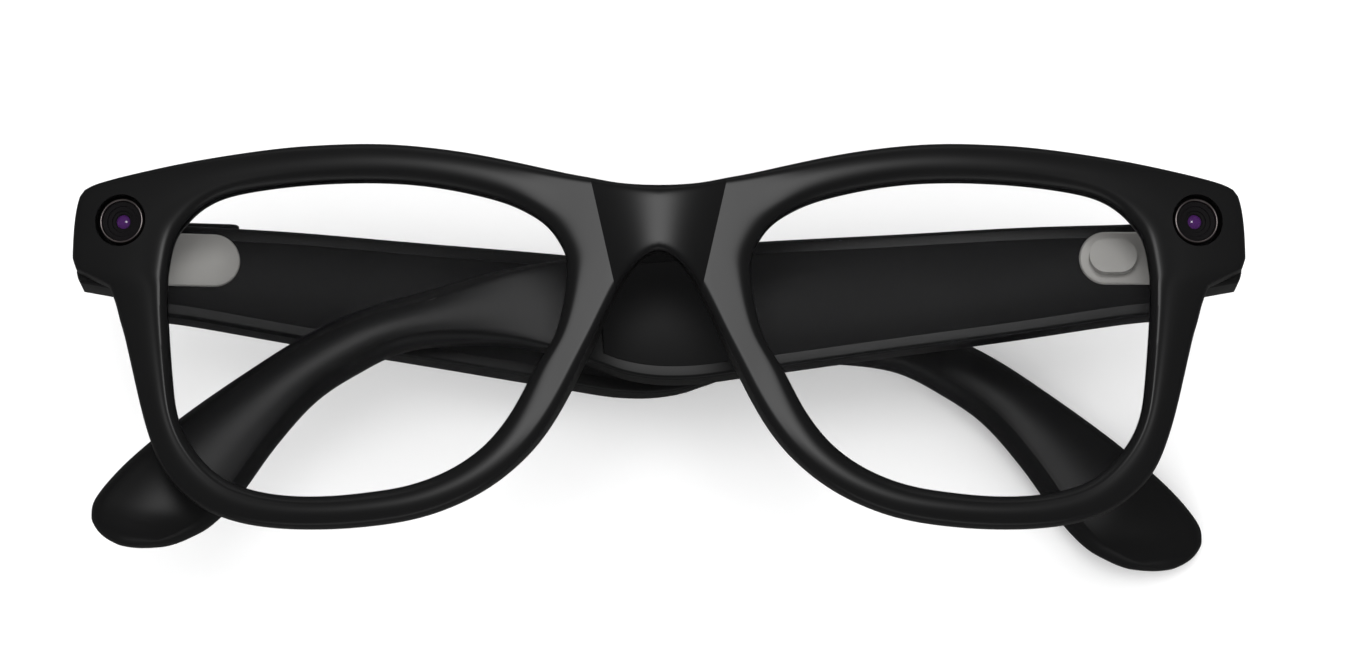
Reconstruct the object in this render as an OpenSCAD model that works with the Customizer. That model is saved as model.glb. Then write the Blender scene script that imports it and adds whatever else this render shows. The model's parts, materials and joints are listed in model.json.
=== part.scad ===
/* [Front] */
// Width of one lens opening
lens_w = 50.2; // [46:0.2:54]
// Height of one lens opening
lens_h = 39.8; // [36:0.2:44]
// Distance between the two lens openings
bridge_w = 22.6; // [20:0.2:25]
// Thickness of the rims, front to back
rim_t = 4.2; // [3.6:0.1:5.5]
// Radius that the front wraps round the face
wrap_r = 300; // [240:10:500]
// Rounding of the front's outer edge
edge_r = 1.1; // [0.6:0.1:1.4]
// Rounding of the front's edges at the back
back_r = 0.8; // [0.4:0.1:1]
// Bevel round each lens opening
rim_bevel = 0.9; // [0.4:0.1:1.2]
// Depth of the groove that holds a lens
groove_d = 0.7; // [0.5:0.05:1]
// Width of the groove at its mouth
groove_w = 1.7; // [1.4:0.1:2]
// How deep the saddle in the bridge is
saddle_d = 0.8; // [0:0.1:1.2]

/* [Lenses] */
// Thickness of a lens
lens_t = 1.5; // [1.2:0.1:1.7]
// How far the middle of a lens bulges past its edge
lens_dome = 1.1; // [0.2:0.1:2]
// Gap between a lens and its groove
lens_gap = 0.12; // [0.08:0.01:0.2]

/* [Ports] */
// Radius of the port in the front for the camera and the light
port_r = 3.3; // [2.6:0.1:3.6]
// Outer radius of the metal ring in a port
ring_r = 2.85; // [2.2:0.05:3]
// Width of the metal ring's lip
ring_lip = 0.3; // [0.2:0.05:0.6]
// Depth of the ring below the front face
ring_sink = 0.25; // [0:0.05:0.5]
// Length of the camera module behind its glass
camera_len = 3; // [2:0.1:3.2]

/* [Hinges] */
// Distance from the front face of the bridge back to the hinge axis
hinge_back = 21; // [20.5:0.5:26]
// Radius of the hinge knuckles
knuckle_r = 1.4; // [1.2:0.05:1.6]
// Radius of the hinge pins
pin_r = 0.6; // [0.4:0.05:0.8]
// Radial clearance of a pin in its knuckles
pin_gap = 0.04; // [0.02:0.01:0.08]
// Height of the middle of the hinge above the middle of the lenses
hinge_y = 13; // [12.5:0.1:13.5]
// Height of the whole hinge
hinge_h = 6.4; // [5.4:0.2:6.8]
// Gap between knuckles that turn against each other
knuckle_gap = 0.15; // [0.1:0.05:0.3]
// How far the right temple folds short of parallel with the front
fold_right = 9.5; // [9:0.5:12]

/* [Temples] */
// Thickness of a temple
temple_t = 6.4; // [6:0.1:7]
// Distance from the hinge axis out to a temple's inner face
face_out = 0.5; // [0.3:0.1:0.8]
// Wall of a temple housing
wall = 1.2; // [0.8:0.1:1.6]
// Thickness of the inner cover
cover_t = 1.0; // [0.6:0.1:1.4]
// Gap round a cover, button or slider
fit_gap = 0.1; // [0.06:0.02:0.2]
// How far the tips bow towards the head
tip_bow = 4; // [3:0.5:6]
// Rounding of a temple's long edges
temple_r = 1.3; // [0.8:0.1:1.6]
// Thickness of the metal plate on a temple
plate_t = 0.5; // [0.3:0.05:0.7]
// Height of the metal plate
plate_h = 6.8; // [6.4:0.1:7.4]
// Length of the metal plate from the hinge axis
plate_l = 13.8; // [13.2:0.1:15]
// Radius of the speakers
speaker_r = 5.2; // [4.5:0.1:5.5]

/* [Controls] */
// Radius of the power slider's knob
knob_r = 2; // [1.6:0.1:2.2]
// Travel of the power slider
slider_travel = 1.7; // [1.2:0.1:2]
// Length of the capture button
button_l = 8; // [6:0.5:9]
// Width of the capture button
button_w = 2.6; // [2:0.1:3]
// How far the capture button stands proud of the temple
button_up = 0.8; // [0.6:0.1:1]
// Travel of the capture button
button_travel = 0.4; // [0.2:0.05:0.5]

/* [Hidden] */
tiny = 0.01;
steps = 2;
lens_x = (bridge_w + lens_w) / 2;
port_at = [lens_x + lens_w / 2 + 6, 15.6];
end_x = lens_x + lens_w / 2 + 12.2;
axis_x = end_x - temple_t - 0.2;
cheek_x = axis_x + 0.3;
seat_z = -wrap(end_x) - rim_t;
bridge_y = 15;
plastic = [0.1, 0.1, 0.11];
metal = [0.62, 0.61, 0.59];

// One row for each station round an eye: the lens opening as shares of its half sizes, how
// far the outline lies beside the opening, the outline's height, and how much further back
// the outer edge reaches. An offset of undef puts the outline on the middle line.
eye = [
    [0.99, 0.05, 5.55, 0.6, 0], [1, 0.25, 6.1, 3.2, 0], [1, 0.36, 7.1, 6.3, 0],
    [1, 0.43, 11.1, 9, 9], [0.993, 0.5, 12.38, 13.2, 9], [0.975, 0.58, 12.43, 17.8, 9],
    [0.94, 0.645, 12.31, 19.9, 9], [0.888, 0.7, 11.31, 20.8, 9], [0.8, 0.79, 9.32, 21.7, 0],
    [0.665, 0.9, 4.91, 23.1, 0], [0.414, 0.975, 1.21, 24.3, 0], [0.19, 1, 0.33, 24.6, 0],
    [-0.01, 1, -0.65, 24.6, 0], [-0.207, 0.985, -1.7, 24.1, 0], [-0.418, 0.945, -3.41, 23, 0],
    [-0.657, 0.87, -4.91, 21.3, 0], [-0.8, 0.79, -8.12, 19.8, 0], [-0.9, 0.7, undef, 19.1, 0],
    [-0.965, 0.58, undef, 15, 0], [-0.996, 0.47, undef, 10.9, 0], [-0.99, 0.3, -8.35, 8.7, 0.6],
    [-0.965, 0.12, -6.78, 4.9, 2.4], [-0.92, -0.05, -6.01, 0.9, 4.2],
    [-0.83, -0.226, -6.17, -3.4, 5], [-0.733, -0.467, -5.6, -9.4, 4],
    [-0.598, -0.688, -5.39, -14.6, 2], [-0.422, -0.844, -4.31, -19.3, 0.5],
    [-0.219, -0.94, -2.4, -22.4, 0], [-0.008, -0.98, -0.6, -23.6, 0], [0.215, -1, 1, -23.9, 0],
    [0.462, -0.98, 2.2, -23.3, 0], [0.7, -0.885, 2.53, -21.2, 0], [0.86, -0.683, 3.31, -17, 0],
    [0.94, -0.48, 3.61, -12, 0], [0.968, -0.276, 4.4, -6.7, 0]
];

// One row for each station along a temple: its upper edge, its lower edge, and its thickness
// as a share of the full one. Lengths run from the hinge axis and heights from the lenses.
temple = [
    [2, 17.8, 2, 5.8, 1], [8, 17.5, 8, 5.3, 1], [21, 17.1, 22, 3.2, 1], [37, 16.2, 38, 1, 1],
    [54, 15.3, 55, -1.4, 1], [64, 14.5, 64, -2.5, 1], [72, 13.8, 71, -1.9, 1],
    [79.5, 12.9, 79, 0.9, 0.98], [87, 11.6, 86, 2.3, 0.94], [96, 9.2, 93, 2.3, 0.88],
    [104.8, 6.6, 99.5, 1.3, 0.84], [112, 3.2, 105, -1.4, 0.82], [119.4, -1.6, 110.5, -5.2, 0.82],
    [127.4, -7.4, 115.5, -11, 0.82], [134, -13, 120, -17.5, 0.8], [138, -17.6, 124, -22, 0.72],
    [138.6, -20.4, 128.5, -23.7, 0.55]
];
n_t = len(temple);
cavity = [4, 75];
bow_to = 138;

function curve(a, b, c, d, t) =
    0.5 * (2 * b + (c - a) * t + (2 * a - 5 * b + 4 * c - d) * t * t
    + (3 * b - a - 3 * c + d) * t * t * t);
function wrap(x) = wrap_r - sqrt(wrap_r * wrap_r - x * x);
function face_z(x, y) = -wrap(x) - saddle_d * max(0, 1 - pow(x / 6, 2));
function unit(v) = v / norm(v);

// Stations round the eye as [lens point, outline point, reach back, on the middle line]
eye_rows = [for (r = eye) [lens_x + r[0] * lens_w / 2, r[1] * lens_h / 2,
    r[2] == undef ? 0 : lens_x + r[0] * lens_w / 2 + r[2], r[3], r[4], r[2] == undef ? 1 : 0]];
n_eye = len(eye_rows);
stations = [for (i = [0:n_eye - 1], k = [0:steps - 1])
    let (c = curve(eye_rows[(i + n_eye - 1) % n_eye], eye_rows[i], eye_rows[(i + 1) % n_eye],
        eye_rows[(i + 2) % n_eye], k / steps),
        middle = min(eye_rows[i][5], eye_rows[(i + (k > 0 ? 1 : 0)) % n_eye][5]))
    [[c[0], c[1]], [middle == 1 ? 0 : max(c[2], 0), c[3]], max(c[4], 0),
        middle == 1 && (k > 0 || (eye_rows[(i + n_eye - 1) % n_eye][5] == 1
        && eye_rows[(i + 1) % n_eye][5] == 1))]];

// One section through the rim, from the outer edge over the front face and back
function rim_section(s) = let (
    inner = s[0], outer = s[1], n = unit(outer - inner), wide = norm(outer - inner),
    m = outer.x == 0 ? [0, sign(outer.y - bridge_y)] : n,
    round_f = s[3] ? 0 : edge_r, round_b = s[3] ? 0 : back_r,
    mid = outer - n * min(7, wide * 0.6),
    zf = face_z(outer.x, outer.y), zl = -wrap(inner.x), zg = zl - rim_t * 0.46,
    zb = zf - rim_t - max(min(s[2], zf - rim_t - seat_z), 0),
    zm = s[2] > 6 ? zb : -wrap(mid.x) - rim_t)
    [
        [outer.x, outer.y, zb + round_b],
        [outer.x, outer.y, zf - round_f],
        [outer.x - m.x * round_f * 0.3, outer.y - m.y * round_f * 0.3, zf - round_f * 0.3],
        [outer.x - m.x * round_f, outer.y - m.y * round_f, zf],
        [inner.x + n.x * rim_bevel, inner.y + n.y * rim_bevel, zl],
        [inner.x, inner.y, zl - rim_bevel * 0.8],
        [inner.x, inner.y, zg + groove_w / 2],
        [inner.x + n.x * groove_d, inner.y + n.y * groove_d, zg],
        [inner.x, inner.y, zg - groove_w / 2],
        [inner.x, inner.y, zl - rim_t + 0.4],
        [inner.x + n.x * 0.5, inner.y + n.y * 0.5, zl - rim_t],
        [mid.x, mid.y, zm],
        [outer.x - m.x * round_b, outer.y - m.y * round_b, zb]
    ];
rim_loops = [for (s = stations) rim_section(s)];
n_st = len(stations);
n_sec = 13;

// The two halves share their points on the middle line
module front_skin() {
    half = [for (loop = rim_loops, p = loop) p];
    both = concat(half, [for (p = half) [-p.x, p.y, p.z]]);
    function at(side, i, j) = let (k = (i % n_st) * n_sec + j % n_sec)
        side == 1 && half[k].x != 0 ? k + len(half) : k;
    faces = [for (side = [0, 1], i = [0:n_st - 1], j = [0:n_sec - 1])
        let (a = at(side, i, j), b = at(side, i + 1, j), c = at(side, i + 1, j + 1),
            d = at(side, i, j + 1), flat = both[a].x == 0 && both[b].x == 0 && both[c].x == 0
            && both[d].x == 0)
        if (!flat) each side == 0 ? [[a, b, c], [a, c, d]] : [[c, b, a], [d, c, a]]];
    polyhedron(both, faces);
}

// Local frame of a port: its middle on the front face, Z out along the face's normal
module at_port(side) {
    translate([side * port_at.x, port_at.y, -wrap(port_at.x)])
        rotate([0, side * asin(port_at.x / wrap_r), 0]) children();
}

module front_frame() color(plastic) difference() {
    front_skin();
    for (side = [-1, 1]) at_port(side) translate([0, 0, -9]) cylinder(r = port_r, h = 12, $fn = 32);
}

// A lens: rings of its own outline, domed towards the middle
module lens(side) {
    shares = [1, 0.72, 0.36];
    edge = [for (s = stations) let (n = unit(s[1] - s[0])) [s[0] - n * lens_gap, n, -wrap(s[0].x)
        - rim_t * 0.46]];
    middle = [lens_x, 0, -wrap(lens_x) - rim_t * 0.46 + lens_dome];
    function ring(k, up) = [for (e = edge) let (p = [lens_x, 0] + (e[0] - [lens_x, 0]) * shares[k])
        [p.x, p.y, e[2] * shares[k] * shares[k] + middle.z * (1 - shares[k] * shares[k])
        + up * lens_t / 2]];
    rim = [for (e = edge) let (p = e[0] + e[1] * (groove_d - lens_gap)) [p.x, p.y, e[2]]];
    points = concat(ring(2, 1), ring(1, 1), ring(0, 1), rim, ring(0, -1), ring(1, -1), ring(2, -1),
        [middle + [0, 0, lens_t / 2], middle - [0, 0, lens_t / 2]]);
    n = n_st;
    faces = concat(
        [for (k = [0:5], i = [0:n - 1]) let (a = k * n + i, b = k * n + (i + 1) % n)
            each [[a, b, b + n], [a, b + n, a + n]]],
        [for (i = [0:n - 1]) [7 * n, (i + 1) % n, i]],
        [for (i = [0:n - 1]) [7 * n + 1, 6 * n + i, 6 * n + (i + 1) % n]]);
    mirror([side < 0 ? 1 : 0, 0, 0]) polyhedron(points, faces);
}
module lens_right() color("white") lens(-1);
module lens_left() color("white") lens(1);

// Outline of the block behind an end of the front, seen from the front
end_low = stations[3 * steps][1].y - 1.2;
end_high = stations[8 * steps - 1][1].y - 0.4;
end_outline = concat([[cheek_x, end_low]], [for (i = [3 * steps:8 * steps - 1])
    let (p = stations[i][1]) [min(p.x, end_x) - 0.25, p.y - 0.2]], [[cheek_x, end_high]]);
module end_block(side) {
    mirror([side < 0 ? 1 : 0, 0, 0]) difference() {
        translate([0, 0, -hinge_back]) linear_extrude(hinge_back + seat_z - 0.1)
            polygon(end_outline);
        translate([cheek_x + wall, end_low + wall, -hinge_back + wall])
            cube([end_x - cheek_x - 2 * wall - 1, end_high - end_low - 3 * wall, hinge_back]);
        translate([cheek_x - 1, end_low - 1, -hinge_back - 1])
            cube([1 + knuckle_r + 0.1, end_high - end_low + 3, 1 + knuckle_r + 0.4]);
        for (y = [-1, 1]) translate([cheek_x - 1, hinge_y + y * 1.8, -hinge_back + 5.2])
            rotate([0, 90, 0]) cylinder(r = 0.5 + pin_gap, h = wall + 2, $fn = 24);
    }
}
module camera_housing() color(plastic) end_block(1);
module light_housing() color(plastic) end_block(-1);

module port_ring(side) at_port(side) rotate_extrude($fn = 48)
    polygon([[ring_r - ring_lip, -2], [ring_r, -2], [ring_r, -ring_sink - 0.15],
        [ring_r - 0.15, -ring_sink], [ring_r - ring_lip + 0.1, -ring_sink],
        [ring_r - ring_lip, -ring_sink - 0.1]]);
glass_back = 1.5;
module port_disc(side) at_port(side) translate([0, 0, 0.1 - glass_back])
    cylinder(r = ring_r - ring_lip - 0.05, h = glass_back - ring_sink - 0.45, $fn = 48);
module camera_ring() color(metal) port_ring(1);
module light_ring() color(metal) port_ring(-1);
module camera_glass() color([0.05, 0.05, 0.08]) port_disc(1);
module light_window() color([0.05, 0.05, 0.08]) port_disc(-1);
module camera_barrel() color([0.08, 0.08, 0.09]) at_port(1) {
    translate([0, 0, -glass_back - camera_len]) cylinder(r = 2.1, h = camera_len, $fn = 48);
    translate([0, 0, -glass_back - camera_len]) cylinder(r = 2.8, h = 0.9, $fn = 48);
}
module port_board(side) color([0.1, 0.3, 0.15]) at_port(side)
    translate([0, 0, -glass_back - camera_len - 0.6]) cylinder(r = 2.8, h = 0.5, $fn = 48);
module camera_board() port_board(1);
module light_guide() color([0.8, 0.8, 0.85]) at_port(-1)
    translate([0, 0, -glass_back - camera_len]) cylinder(r1 = 1.2, r2 = 2.1, h = camera_len, $fn = 48);
module light_board() port_board(-1);

// Spans of the knuckles along the hinge axis
third = hinge_h / 3;
module knuckle(from, to) translate([axis_x, from, -hinge_back]) rotate([-90, 0, 0])
    cylinder(r = knuckle_r, h = to - from, $fn = 40);
module hinge_bore() translate([axis_x, hinge_y - hinge_h, -hinge_back]) rotate([-90, 0, 0])
    cylinder(r = pin_r + pin_gap, h = 2 * hinge_h, $fn = 32);
module front_leaf(side) color(metal) mirror([side < 0 ? 1 : 0, 0, 0]) difference() {
    low = hinge_y - hinge_h / 2;
    union() {
        for (y = [low, hinge_y + third / 2 + knuckle_gap]) {
            knuckle(y, y + third - knuckle_gap);
            translate([axis_x - 0.6, y, -hinge_back]) cube([0.8, third - knuckle_gap, 3]);
        }
        translate([axis_x - 0.6, low, -hinge_back + knuckle_r + 0.3])
            cube([0.8, hinge_h, hinge_back + seat_z - knuckle_r - 0.8]);
    }
    hinge_bore();
    for (y = [-1, 1]) translate([axis_x - 2, hinge_y + y * 1.8, -hinge_back + 5.2])
        rotate([0, 90, 0]) cylinder(r = 0.5 + pin_gap, h = 4, $fn = 24);
}
module front_leaf_right() front_leaf(-1);
module front_leaf_left() front_leaf(1);
module leaf_screws(side) color(metal) mirror([side < 0 ? 1 : 0, 0, 0]) for (y = [-1, 1])
    translate([axis_x - 1, hinge_y + y * 1.8, -hinge_back + 5.2]) rotate([0, 90, 0]) {
        cylinder(r = 0.5, h = 1 + wall, $fn = 24);
        cylinder(r = 0.8, h = 0.38, $fn = 24);
    }
module leaf_screws_right() leaf_screws(-1);
module leaf_screws_left() leaf_screws(1);
module hinge_pin(side) color(metal) mirror([side < 0 ? 1 : 0, 0, 0])
    translate([axis_x, hinge_y - hinge_h / 2, -hinge_back]) rotate([-90, 0, 0]) {
        cylinder(r = pin_r, h = hinge_h + 0.05, $fn = 32);
        translate([0, 0, hinge_h + 0.02]) cylinder(r = pin_r + 0.4, h = 0.4, $fn = 32);
    }
module hinge_pin_right() hinge_pin(-1);
module hinge_pin_left() hinge_pin(1);
module charge_contacts() color("gold") for (x = [-1.7, 1.7])
    translate([x, 12.9, face_z(0, 15) - rim_t - 0.6]) cylinder(r = 0.8, h = 0.5, $fn = 32);
module nose_microphone() color([0.3, 0.3, 0.3])
    translate([0, 16.2, face_z(0, 15) - rim_t - 0.6]) cylinder(r = 1, h = 0.5, $fn = 32);

// A folded temple from its own frame: X along it from the hinge axis, Y up, Z to its inner
// face. The right one turns further back, to lie behind the left one.
module in_temple(side) {
    translate([side * axis_x, 0, -hinge_back]) rotate([0, side < 0 ? fold_right : 0, 0])
        mirror([side > 0 ? 1 : 0, 0, 0]) children();
}
temple_rows = [for (i = [0:n_t - 2], k = [0:steps - 1])
    curve(temple[max(i - 1, 0)], temple[i], temple[i + 1], temple[min(i + 2, n_t - 1)], k / steps)];
function bow(l) = tip_bow * pow(max(l - cavity[1], 0) / (bow_to - cavity[1]), 1.5);
// Section of a temple: a rounded bar with a channel of the given depth in its inner face
function bar_section(r, deep, from_in) = let (
    top = [r[0], r[1]], low = [r[2], r[3]], n = unit(top - low), t = temple_t * r[4],
    zi = face_out - (temple_t - t) * 0.4 + bow(r[0]) - from_in, zo = face_out - temple_t
        + (temple_t - t) * 0.6 + bow(r[0]), q = min(temple_r, (zi - zo) * 0.45), w = wall + 0.35)
    [
        [low.x + n.x * w, low.y + n.y * w, zi], [low.x + n.x * 0.5, low.y + n.y * 0.5, zi],
        [low.x, low.y, zi - 0.5], [low.x, low.y, zo + q],
        [low.x + n.x * q * 0.3, low.y + n.y * q * 0.3, zo + q * 0.3],
        [low.x + n.x * q, low.y + n.y * q, zo],
        [top.x - n.x * q, top.y - n.y * q, zo],
        [top.x - n.x * q * 0.3, top.y - n.y * q * 0.3, zo + q * 0.3], [top.x, top.y, zo + q],
        [top.x, top.y, zi - 0.5], [top.x - n.x * 0.5, top.y - n.y * 0.5, zi],
        [top.x - n.x * w, top.y - n.y * w, zi],
        [top.x - n.x * w, top.y - n.y * w, zi - deep],
        [low.x + n.x * w, low.y + n.y * w, zi - deep]
    ];
function row_at(l) = let (i = min([for (k = [0:len(temple_rows) - 2])
    if (temple_rows[k + 1][0] >= l) k]), a = temple_rows[i], b = temple_rows[i + 1],
    t = (l - a[0]) / (b[0] - a[0])) a + (b - a) * t;
deep_in = temple_t - wall;
root_in = face_out + knuckle_r + 0.4;
first = row_at(2.01);
start = [knuckle_r + 0.4, first[1], knuckle_r + 0.4, first[3], 1];
flap = [0.35, first[1], 0.35, first[3], 1];
step = [tiny, 0, tiny, 0, 0];
housing_loops = concat(
    [bar_section(flap, tiny, root_in), bar_section(start, tiny, root_in),
        bar_section(start + step, tiny, 0), bar_section(row_at(cavity[0]), tiny, 0),
        bar_section(row_at(cavity[0] + tiny), deep_in, 0)],
    [for (r = temple_rows) if (r[0] > cavity[0] + 0.5 && r[0] < cavity[1] - 0.5)
        bar_section(r, deep_in, 0)],
    [bar_section(row_at(cavity[1]), deep_in, 0), bar_section(row_at(cavity[1] + tiny), tiny, 0)],
    [for (r = temple_rows) if (r[0] > cavity[1] + 0.5) bar_section(r, tiny, 0)],
    [bar_section([138.2, -21.8, 132, -24.2, 0.3], tiny, 0)]);
module temple_skin() {
    m = 14;
    n = len(housing_loops);
    points = [for (loop = housing_loops, p = loop) p];
    faces = concat(
        [for (i = [0:n - 2], j = [0:m - 1]) let (a = i * m + j, b = i * m + (j + 1) % m)
            each [[a, b, b + m], [a, b + m, a + m]]],
        [[for (j = [m - 1:-1:0]) j]], [[for (j = [0:m - 1]) (n - 1) * m + j]]);
    polyhedron(points, faces);
}

// The flat inner cover follows the temple's edges
cover_rows = concat([row_at(cavity[0] + fit_gap)], [for (r = temple_rows)
    if (r[0] > cavity[0] + 1 && r[0] < cavity[1] - 1) r], [row_at(cavity[1] - fit_gap)]);
cover_in = wall + 0.35 + fit_gap;
cover_outline = concat([for (r = cover_rows) [r[0], r[1] - cover_in]],
    [for (i = [len(cover_rows) - 1:-1:0]) [cover_rows[i][2], cover_rows[i][3] + cover_in]]);
slot_from = plate_l - plate_h / 2 - slider_travel;
slot_r = knob_r + 0.15;
module cover() translate([0, 0, face_out - cover_t]) linear_extrude(cover_t) polygon(cover_outline);
module slider_slot(grow) hull() for (l = [0, slider_travel])
    translate([slot_from + l, hinge_y, -3]) cylinder(r = slot_r + grow, h = 6, $fn = 32);
module plate() translate([0, hinge_y, face_out]) {
    translate([plate_l - plate_h / 2, 0, 0]) cylinder(r = plate_h / 2, h = plate_t, $fn = 48);
    translate([knuckle_r + 0.2, -plate_h / 2, 0])
        cube([plate_l - plate_h / 2 - knuckle_r - 0.2, plate_h, plate_t]);
    translate([0, -third / 2, plate_t - 1]) cube([knuckle_r + 0.3, third, 1]);
}
module plate_knuckle() translate([0, hinge_y - third / 2, 0]) rotate([-90, 0, 0])
    cylinder(r = knuckle_r, h = third, $fn = 40);
module plate_bore() translate([0, hinge_y - hinge_h, 0]) rotate([-90, 0, 0])
    cylinder(r = pin_r + pin_gap, h = 2 * hinge_h, $fn = 32);
module right_plate() color(metal) in_temple(-1) difference() {
    union() {
        plate();
        plate_knuckle();
    }
    plate_bore();
}
module left_plate() color(metal) in_temple(1) difference() {
    union() {
        plate();
        plate_knuckle();
    }
    plate_bore();
    slider_slot(0);
}

button_at = 10;
button_h = 2.2;
button_top = row_at(button_at)[1];
module right_housing() color(plastic) in_temple(-1) difference() {
    temple_skin();
    translate([button_at - button_l / 2 - fit_gap, button_top - 2 * button_h, face_out
        - temple_t / 2 - button_w / 2 - fit_gap])
        cube([button_l + 2 * fit_gap, 4 * button_h, button_w + 2 * fit_gap]);
}
module left_housing() color(plastic) in_temple(1) temple_skin();
module right_cover() color(plastic) in_temple(-1) cover();
module left_cover() color(plastic) in_temple(1) difference() {
    cover();
    slider_slot(0.1);
}
module capture_button() color(plastic) in_temple(-1)
    translate([button_at, button_top + button_up, face_out - temple_t / 2]) rotate([90, 0, 0])
        linear_extrude(button_h) square([button_l, button_w], center = true);
module button_switch() color(metal) in_temple(-1)
    translate([button_at - 2, button_top + button_up - button_h - button_travel - 1.6, face_out
        - temple_t / 2 - 1]) cube([4, 1.4, 2]);
module power_slider() color(metal) in_temple(1) {
    translate([slot_from, hinge_y, face_out - cover_t - 0.9])
        cylinder(r = knob_r, h = 0.9 + cover_t + plate_t + 0.3, $fn = 48);
    translate([slot_from, hinge_y, face_out - cover_t - 0.9])
        cylinder(r = knob_r + 0.7, h = 0.8, $fn = 48);
}
module slide_switch() color([0.2, 0.2, 0.22]) in_temple(1)
    translate([slot_from - 3, hinge_y - 2, face_out - temple_t + wall + 0.2]) cube([7, 4, 1.8]);

// Sealed parts stand on the floor of the channel, between its walls
floor_gap = 0.15;
floor_z = face_out - temple_t + wall + floor_gap;
room = temple_t - wall - cover_t - 0.4;
board_t = 0.8;
module inside(from, to, thick, spare = 0, up = 0) {
    low = max(row_at(from)[3], row_at(to)[3]) + cover_in + spare;
    high = min(row_at(from)[1], row_at(to)[1]) - cover_in - spare;
    translate([from, low, floor_z + up]) cube([to - from, high - low, thick]);
}
module touch_sensor() color([0.75, 0.5, 0.2]) in_temple(-1) inside(20, 46, 0.2);
module main_board() color([0.1, 0.3, 0.15]) in_temple(-1) inside(18, 48, board_t, 0, 0.4);
module processor() color([0.2, 0.2, 0.2]) in_temple(-1)
    inside(26, 36, 1.2, 1, 0.4 + board_t + 0.05);
module speaker() {
    at = cavity[1] - 13;
    r = row_at(at);
    translate([at, (r[1] + r[3]) / 2, floor_z]) {
        cylinder(r = speaker_r, h = room - 0.4, $fn = 48);
        translate([0, 0, room - 0.4]) cylinder(r = 0.6 * speaker_r, h = 0.3, $fn = 48);
    }
}
module right_speaker() color([0.15, 0.15, 0.15]) in_temple(-1) speaker();
module left_speaker() color([0.15, 0.15, 0.15]) in_temple(1) speaker();
module microphone() inside(cavity[1] - 4.5, cavity[1] - 1.5, 1.2, 4.5);
module right_microphone() color([0.7, 0.65, 0.4]) in_temple(-1) microphone();
module left_microphone() color([0.7, 0.65, 0.4]) in_temple(1) microphone();
module battery() color([0.5, 0.52, 0.55]) in_temple(1) inside(24, 54, room);
module battery_board() color([0.1, 0.3, 0.15]) in_temple(1) inside(17, 23, board_t);

// The row's origin: middle of the width and the height, at the lowest point of the tips
low_y = min([for (loop = housing_loops, p = loop) p.y]);
high_y = max([for (s = stations) s[1].y]);
lift = max([for (loop = housing_loops, p = loop)
    hinge_back + p.x * sin(fold_right) - p.z * cos(fold_right)]);
module place() translate([0, -(low_y + high_y) / 2, lift]) children();
place() front_frame();
place() lens_right();
place() lens_left();
place() camera_housing();
place() light_housing();
place() camera_ring();
place() camera_glass();
place() camera_barrel();
place() camera_board();
place() light_ring();
place() light_window();
place() light_guide();
place() light_board();
place() front_leaf_right();
place() front_leaf_left();
place() leaf_screws_right();
place() leaf_screws_left();
place() hinge_pin_right();
place() hinge_pin_left();
place() nose_microphone();
place() charge_contacts();
place() right_housing();
place() right_cover();
place() right_plate();
place() capture_button();
place() button_switch();
place() touch_sensor();
place() main_board();
place() processor();
place() right_speaker();
place() right_microphone();
place() left_housing();
place() left_cover();
place() left_plate();
place() power_slider();
place() slide_switch();
place() battery();
place() battery_board();
place() left_speaker();
place() left_microphone();
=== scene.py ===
"""Folded smart glasses: the fine shells, metalwork and lenses that dress the CAD frame."""
import json
import math

import bmesh
import bpy
from mathutils import Matrix, Vector


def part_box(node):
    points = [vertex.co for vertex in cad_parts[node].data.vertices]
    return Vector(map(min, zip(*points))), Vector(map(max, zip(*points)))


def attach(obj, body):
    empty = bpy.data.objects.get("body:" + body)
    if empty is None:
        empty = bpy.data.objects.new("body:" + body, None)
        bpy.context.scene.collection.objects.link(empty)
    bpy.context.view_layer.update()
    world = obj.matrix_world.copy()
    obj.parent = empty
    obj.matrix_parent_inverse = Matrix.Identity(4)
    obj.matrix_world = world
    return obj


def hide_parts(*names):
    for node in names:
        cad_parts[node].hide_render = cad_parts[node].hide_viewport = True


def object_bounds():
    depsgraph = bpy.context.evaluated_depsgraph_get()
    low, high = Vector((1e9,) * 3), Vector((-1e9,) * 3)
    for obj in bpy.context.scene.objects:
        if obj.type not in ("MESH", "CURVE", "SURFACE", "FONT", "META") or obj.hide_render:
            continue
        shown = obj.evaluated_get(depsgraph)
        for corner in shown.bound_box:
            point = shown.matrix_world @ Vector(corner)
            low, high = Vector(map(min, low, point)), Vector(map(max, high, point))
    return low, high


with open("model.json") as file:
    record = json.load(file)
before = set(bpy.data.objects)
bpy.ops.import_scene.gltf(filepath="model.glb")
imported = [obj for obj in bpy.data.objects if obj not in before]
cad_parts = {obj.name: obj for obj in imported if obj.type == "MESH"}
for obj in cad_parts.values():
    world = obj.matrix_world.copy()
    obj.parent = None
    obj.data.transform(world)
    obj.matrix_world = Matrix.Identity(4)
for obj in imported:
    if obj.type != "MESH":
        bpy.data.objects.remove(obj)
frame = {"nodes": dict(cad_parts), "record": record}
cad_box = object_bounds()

# ---------------------------------------------------------------- sizes, in millimetres
MM = 0.001
MM_IN_METRE = 1000

# Lens openings, the rim round them and the wrap of the front round the head
LENS_W = 50.2
LENS_H = 39.8
BRIDGE_W = 22.6
RIM_T = 4.2
WRAP_R = 300
EDGE_R = 1.1
BACK_R = 0.8
RIM_BEVEL = 0.9
GROOVE_D = 0.7
GROOVE_W = 1.7
GROOVE_SHARE = 0.46
RIM_CROWN = 0.22
CROWN_FROM, CROWN_FULL = 12, 20
LENS_T = 1.5
LENS_DOME = 1.1
LENS_GAP = 0.12

# Bridge: a saddle pressed into its face, and a back that is sunk to its contacts
BRIDGE_Y = 15
BRIDGE_HALF = 12
SADDLE_D = 1.7
SADDLE_HALF = 5.7
SADDLE_Y = 7
SADDLE_FLARE = 0.225
BACK_SINK = 1.3
SINK_HALF = 6

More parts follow.
